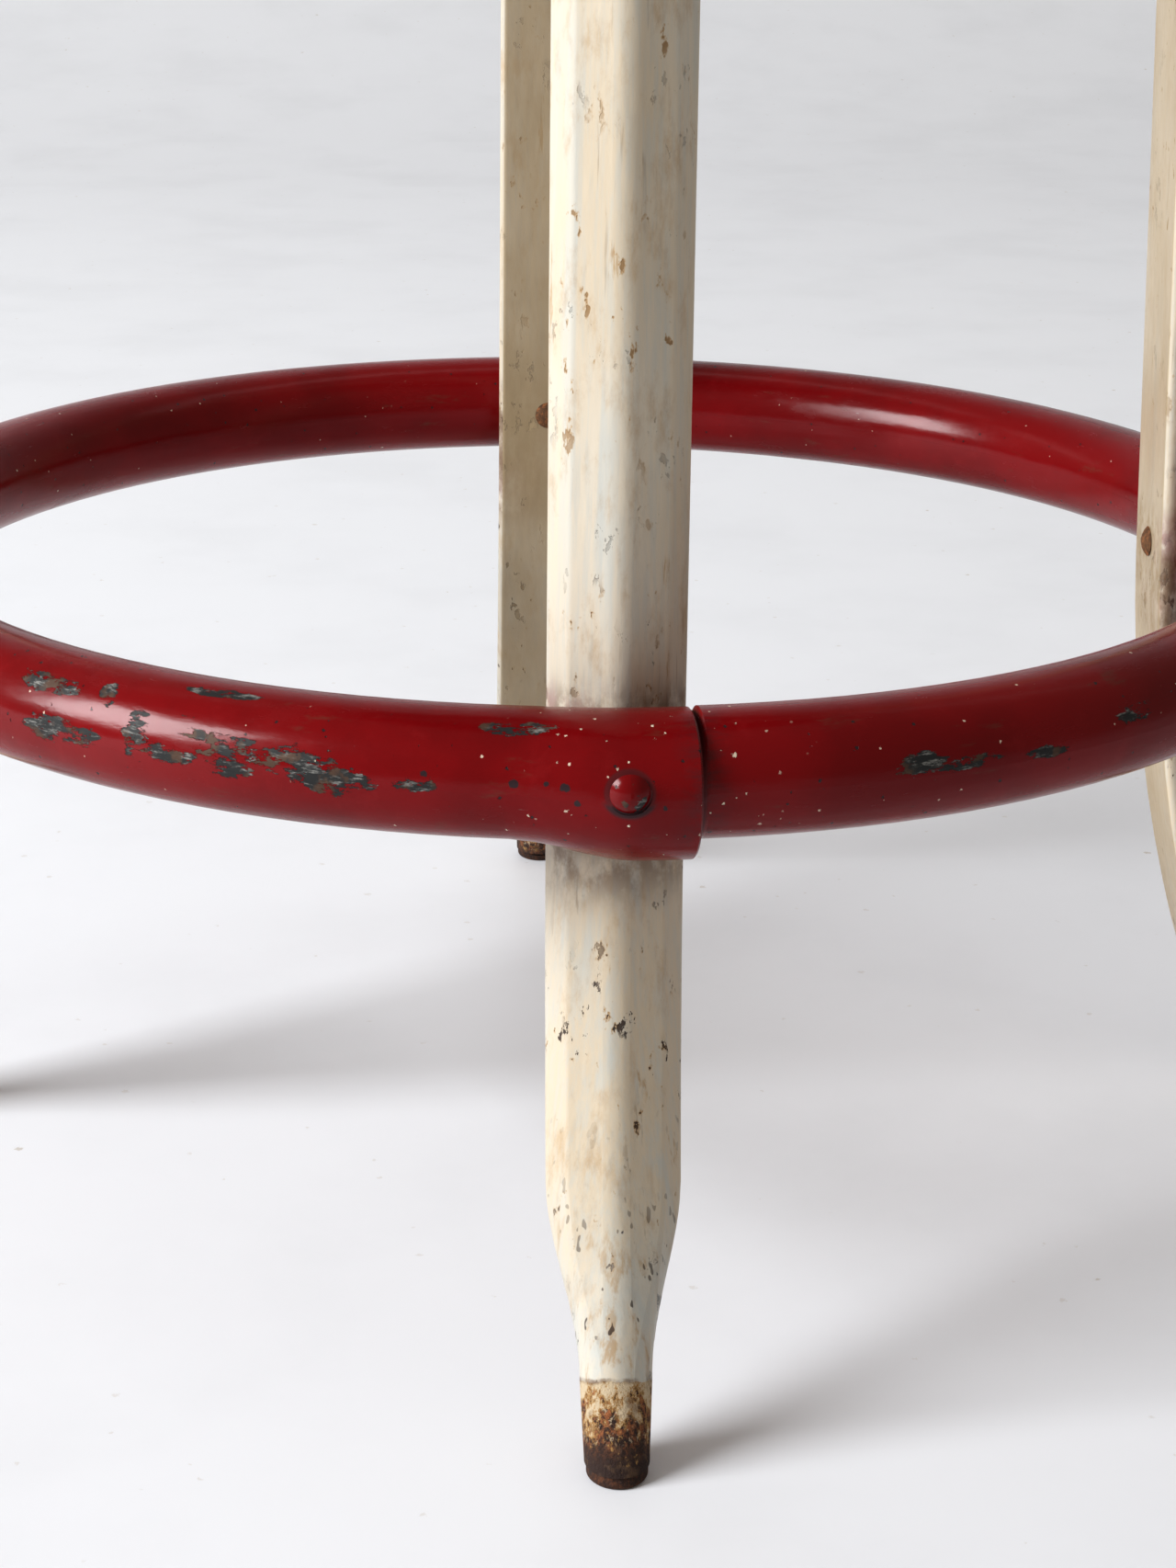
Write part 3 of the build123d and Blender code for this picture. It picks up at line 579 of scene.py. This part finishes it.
def ring_enamel(name):
    """Deep red gloss enamel with ragged chips down to grey steel, pinholes, flecks and a grimy joint,
    with painted shade in the gap at the bell's mouth and a painted shadow under the front rivet's head.
    """
    paint = Paint(name, RED_SHINE)
    at = places_on_ring(paint)
    ragged = paint.noise(0.0042, 8, (0.50, 1.15, 1), (2, 3, 0), at.unrolled, 0.72)
    near = near_patches(paint, at)
    chips = paint.step(paint.math("ADD", ragged, paint.times(near, 0.222)), 0.698, 0.706)
    far_chips = paint.blotches(0.735, 0.745, 0.0040, 4, (0.7, 1, 1), (7, 7, 0), at.unrolled)
    chips = paint.either(chips, far_chips)
    pinholes = scattered(paint, 0.0030, 0.13, 0.50, (6, 1, 2))
    dark_spots = paint.either(pinholes, small_knocks(paint, at))
    flecks = joint_flecks(paint, at)
    dirt_and_shade = paint.either(mouth_shade_and_grime(paint, at, ragged), rivet_dirt_and_shadow(paint, at, ragged))

    color = paint.cover(ring_red(paint, at), bare_steel_color(paint), chips)
    color = paint.cover(color, CHIP_AND_SHADE_DARK, dark_spots, 0.9)
    color = scratched_and_dusty(paint, at, color)
    color = paint.cover(color, CREAM_FLECK, flecks)
    # Painted shade in the gap at the bell's mouth and painted shadow under the rivet's head, with the
    # grime and dirt beside them.
    color = paint.cover(color, CHIP_AND_SHADE_DARK, dirt_and_shade)

    grain = paint.noise(0.0011, 3, (0.3, 1, 1), source=at.unrolled)
    scuffs = paint.blotches(0.50, 0.75, 0.010, 6, (0.35, 1, 1), (9, 9, 0), at.unrolled, 0.7)
    roughness = paint.math("ADD", 0.16, paint.times(scuffs, 0.18))
    roughness = paint.math("ADD", roughness, paint.times(grain, 0.07))
    roughness = paint.either(roughness, paint.times(chips, 0.55), paint.times(dirt_and_shade, 0.8))
    ripple = paint.noise(0.016, 3, (0.4, 1, 1), source=at.unrolled)
    height = paint.math("ADD", paint.times(ripple, 0.28), paint.times(grain, 0.03))
    height = paint.math("SUBTRACT", height, paint.times(paint.either(chips, pinholes), 0.30))
    height = paint.math("ADD", height, paint.times(flecks, 0.15))
    return paint.finish(color, roughness, height, RED_DEPTH, paint.times(chips, 0.2))


# ---- Red enamel of the seat parts and rivet heads ----


def red_layers(paint, wear):
    """Red enamel with scratches and chips; wear from 0 to 1 sets how much has gone."""
    deep = paint.blotches(0.36, 0.64, 0.05, 4, shift=(1, 1, 1))
    color = paint.cover(RED, RED_DEEP, deep, 0.55)
    chalky = paint.blotches(0.50, 0.75, 0.025, 7, shift=(6, 2, 0), rough=0.7)
    color = paint.cover(color, RED_CHALKY, chalky, 0.40)
    scratches = paint.blotches(0.70, 0.73, 0.0035, 5, (0.05, 1, 1), (5, 5, 5))
    color = paint.cover(color, PRIMER_BROWN, scratches, 0.5 * wear)
    patch = paint.blotches(0.50, 0.70, 0.030, 3, shift=(2, 7, 3))
    ragged = paint.noise(0.0050, 8, shift=(2, 3, 4), rough=0.72)
    limit = 0.80 - 0.09 * wear
    chips = paint.step(paint.math("ADD", ragged, paint.times(patch, 0.10)), limit, limit + 0.01)
    color = paint.cover(color, bare_steel_color(paint), chips)
    pinholes = scattered(paint, 0.010, 0.06, 0.25, (1, 2, 3))
    color = paint.cover(color, CHIP_AND_SHADE_DARK, pinholes, 0.9)

    scuffs = paint.blotches(0.45, 0.75, 0.020, 6, shift=(9, 9, 0), rough=0.7)
    roughness = paint.math("ADD", 0.20, paint.times(scuffs, 0.28))
    roughness = paint.either(roughness, paint.times(chips, 0.55))
    height = paint.math("ADD", paint.times(paint.noise(0.025, 2), 0.25), paint.times(scuffs, 0.03))
    height = paint.math("SUBTRACT", height, paint.times(paint.either(chips, pinholes), 0.25))
    return color, roughness, height


def red_enamel(name, wear):
    """Red enamel of the seat parts."""
    paint = Paint(name, RED_SHINE)
    return paint.finish(*red_layers(paint, wear), RED_DEPTH)


def rivet_enamel(name):
    """Ring rivets: red heads with a worn grey spot outside the ring, rusty tails inside the legs."""
    paint = Paint(name, RED_SHINE)
    color, roughness, height = red_layers(paint, 0.5)
    worn = paint.blotches(0.56, 0.60, 0.0026, 4, shift=(1, 4, 2))
    color = paint.cover(color, bare_steel_color(paint), worn)
    tail = paint.step(paint.reach(), RING_RADIUS - 0.008, RING_RADIUS - 0.012)
    dirty_rust = paint.mix(paint.noise(0.003, 4), rust_color(paint), GRIME_BROWN)
    color = paint.cover(color, dirty_rust, tail)
    roughness = paint.either(roughness, paint.times(tail, 0.8), paint.times(worn, 0.5))
    return paint.finish(color, roughness, height, RED_DEPTH)


# ---- Bare metals ----


def shaded(color, share):
    """The same colour, darker."""
    return tuple(share * channel for channel in color)


def bare_metal(name, base, stain, rough, stain_share):
    """Dull metal with smears, stains and a fine grain."""
    paint = Paint(name)
    smear = paint.blotches(0.35, 0.70, 0.012, 5, shift=(3, 2, 1))
    color = paint.mix(smear, base, shaded(base, 0.62))
    stained = paint.blotches(0.62 - stain_share, 0.74, 0.008, 6, shift=(7, 1, 4), rough=0.68)
    color = paint.cover(color, stain, stained, 0.85)
    grain = paint.noise(0.0010, 4, rough=0.7)
    roughness = paint.math("ADD", rough, paint.times(grain, 0.18))
    roughness = paint.either(roughness, paint.times(stained, 0.8))
    metallic = paint.math("SUBTRACT", 1.0, paint.times(stained, 0.8))
    height = paint.math("ADD", paint.times(grain, 0.10), paint.times(stained, 0.12))
    return paint.finish(color, roughness, height, METAL_DEPTH, metallic)


def rusty_steel(name):
    """Foot plugs: heavy dark rust with orange bloom."""
    paint = Paint(name)
    worn = paint.blotches(0.60, 0.70, 0.004, 4, shift=(1, 3, 3))
    dull = paint.mix(0.72, rust_color(paint), RUST_DARK)
    color = paint.cover(dull, BARE_STEEL, worn, 0.4)
    scale = rust_scale(paint)
    roughness = paint.math("ADD", 0.70, paint.times(scale, 0.2))
    return paint.finish(color, roughness, paint.times(scale, 0.45), RUST_DEPTH, 0.1)


materials = {
    "leg_enamel": leg_enamel("leg_enamel"),
    "hub_enamel": cream_enamel("hub_enamel"),
    "hub_rivet_steel": cream_enamel("hub_rivet_enamel"),
    "foot_steel": rusty_steel("foot_steel"),
    "ring_enamel": ring_enamel("ring_enamel"),
    "ring_rivet_enamel": rivet_enamel("ring_rivet_enamel"),
    "bracket_enamel": red_enamel("bracket_enamel", 0.2),
    "seat_enamel": red_enamel("seat_enamel", 1.0),
    "seat_rivet_enamel": red_enamel("seat_rivet_enamel", 1.0),
    "pivot_steel": bare_metal("pivot_steel", ZINC, RUST_STAIN, 0.34, 0.06),
    "race_steel": bare_metal("race_steel", OILY_STEEL, GRIME_BROWN, 0.30, 0.10),
    "ball_steel": bare_metal("ball_steel", BALL_STEEL, GRIME_BROWN, 0.12, 0.0),
    "cage_brass": bare_metal("cage_brass", BRASS, GRIME_BROWN, 0.32, 0.08),
}

for entry in frame["record"]["subparts"]:
    piece = nodes[entry["node"]]
    piece.data.materials.clear()
    piece.data.materials.append(materials[entry["material_slot"]])


# ---- Floor, backdrop and light ----

FLOOR_FRONT = -6.0
FLOOR_SIDE = 5.0
WALL_FOOT = 1.6
WALL_BEND = 1.5
WALL_TOP = 4.0
BEND_STEPS = 16


def backdrop_material():
    """White painted floor with soft smudges and a few crumbs."""
    paint = Paint("backdrop")
    smudge = paint.blotches(0.40, 0.75, 0.10, 5)
    color = paint.mix(smudge, FLOOR_WHITE, shaded(FLOOR_WHITE, 0.95))
    zone = paint.blotches(0.44, 0.62, 0.05, 2, shift=(3, 1, 1))
    crumbs = paint.times(scattered(paint, 0.014, 0.085, 0.45, (2, 2, 2)), zone)
    color = paint.cover(color, FLOOR_SPECK, crumbs, 0.55)
    faint = scattered(paint, 0.009, 0.11, 0.30, (5, 2, 2))
    color = paint.cover(color, FLOOR_SPECK, faint, 0.25)
    grain = paint.noise(0.03, 4)
    roughness = paint.math("ADD", 0.42, paint.times(grain, 0.2))
    return paint.finish(color, roughness, paint.times(grain, 0.05), FLOOR_DEPTH)


def add_backdrop():
    """Floor that bends up into a wall behind the stool, as one smooth sheet."""
    profile = [(FLOOR_FRONT, 0.0), (WALL_FOOT, 0.0)]
    for step in range(1, BEND_STEPS + 1):
        angle = radians(90 * step / BEND_STEPS)
        profile.append((WALL_FOOT + WALL_BEND * sin(angle), WALL_BEND * (1 - cos(angle))))
    profile.append((WALL_FOOT + WALL_BEND, WALL_TOP))
    vertices = [(side, y, z) for y, z in profile for side in (-FLOOR_SIDE, FLOOR_SIDE)]
    faces = [(2 * i, 2 * i + 1, 2 * i + 3, 2 * i + 2) for i in range(len(profile) - 1)]
    mesh = bpy.data.meshes.new("backdrop")
    mesh.from_pydata(vertices, [], faces)
    mesh.shade_smooth()
    mesh.materials.append(backdrop_material())
    backdrop = bpy.data.objects.new("backdrop", mesh)
    bpy.context.scene.collection.objects.link(backdrop)


# Each lamp: where it hangs and what it aims at, its width and height, its watts and its colour.
LAMPS = {
    "window": ((-2.3, -0.8, 1.4), (0, 0, 0.15), (1.35, 1.2), 101, (0.97, 0.985, 1.0)),
    "wall light": ((0, 0.7, 1.9), (0, 3.0, 0.6), (3.0, 1.0), 8, (1.0, 1.0, 1.0)),
}


def add_lamp(name, place, target, size, power, color):
    """Soft rectangular light."""
    data = bpy.data.lights.new(name, "AREA")
    data.shape = "RECTANGLE"
    data.size, data.size_y = size
    data.energy = power
    data.color = color
    lamp = bpy.data.objects.new(name, data)
    lamp.location = place
    lamp.rotation_euler = (Vector(target) - Vector(place)).to_track_quat("-Z", "Y").to_euler()
    bpy.context.scene.collection.objects.link(lamp)


SKY_COLOR = (1.0, 0.93, 0.84)
SKY_STRENGTH = 0.30


def add_sky():
    """Even pale light from all round."""
    world = bpy.data.worlds.new("sky")
    bpy.context.scene.world = world
    world.use_nodes = True
    background = world.node_tree.nodes["Background"]
    background.inputs["Color"].default_value = (*SKY_COLOR, 1)
    background.inputs["Strength"].default_value = SKY_STRENGTH


add_camera()
add_backdrop()
add_sky()
for lamp_name, lamp in LAMPS.items():
    add_lamp(lamp_name, *lamp)
bpy.context.scene.view_settings.view_transform = "Standard"
bpy.context.scene.view_settings.look = "Medium High Contrast"
